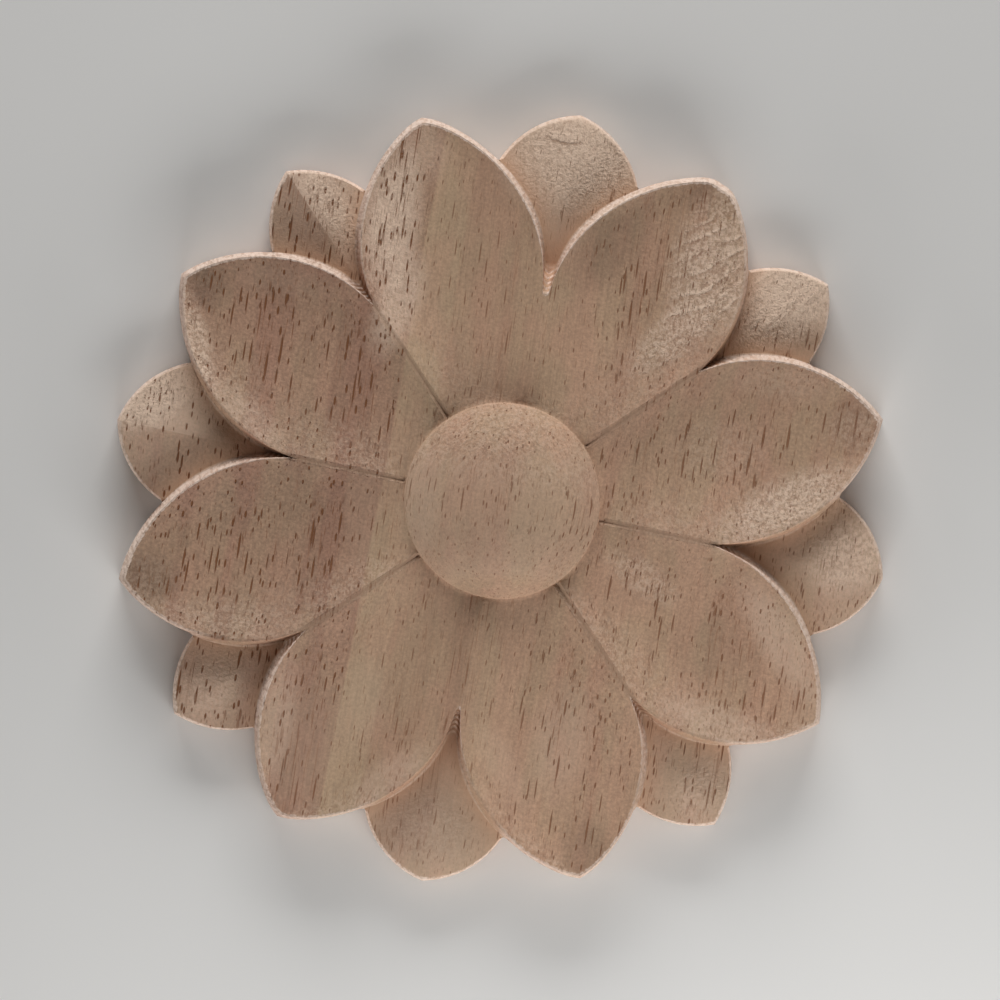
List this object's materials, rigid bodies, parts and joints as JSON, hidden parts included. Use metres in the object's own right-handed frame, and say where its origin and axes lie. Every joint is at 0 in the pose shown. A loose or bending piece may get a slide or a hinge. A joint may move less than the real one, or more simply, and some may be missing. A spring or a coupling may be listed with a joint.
{
  "type": "carved wood onlay",
  "caption": "Round carved wood flower rosette onlay with broad pointed petals over lower ones, a low central dome and a flat back for gluing to furniture, doors or panels.",
  "frame": {"origin": "centre of the flat back", "axes": "+Z out of the carved face, +Y through the tip of a wide lower petal, +X through the next wide one to the right"},
  "size_m": [0.08, 0.08, 0.011],
  "materials": {
    "pale_hardwood": "bare sanded wood, unpainted"
  },
  "bodies": {
    "root": {"carved_rosette": "pale_hardwood"}
  },
  "joints": []
}
